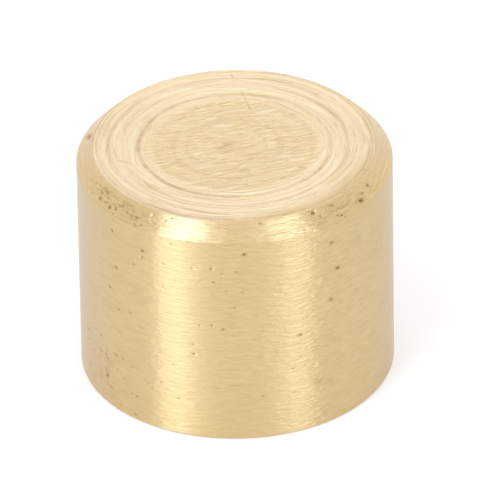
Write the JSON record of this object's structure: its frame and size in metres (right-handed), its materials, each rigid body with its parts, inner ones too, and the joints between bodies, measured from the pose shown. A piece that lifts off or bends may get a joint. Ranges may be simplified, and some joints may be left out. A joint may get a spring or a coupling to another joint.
{
  "type": "pipe cap",
  "caption": "Round turned brass female pipe cap with a chamfered closed end, an internal parallel pipe thread and a loose flat rubber sealing washer.",
  "frame": {"origin": "centre of the open end's rim, on the plane that the cap stands on", "axes": "+Z along the axis of the cap, from the open end to the closed end; the thread starts on the -X side"},
  "size_m": [0.02, 0.02, 0.0157],
  "materials": {
    "brass": "turned and faced, bare, fine tool marks with small pits",
    "rubber": "matt black moulded rubber"
  },
  "bodies": {
    "cap": {"cap_body": "brass"},
    "washer": {"sealing_washer": "rubber"}
  },
  "joints": [
    {"name": "washer_slide", "type": "slide", "parent": "cap", "child": "washer", "axis": [0, 0, -1], "range_m": [0, 0.0145]}
  ]
}
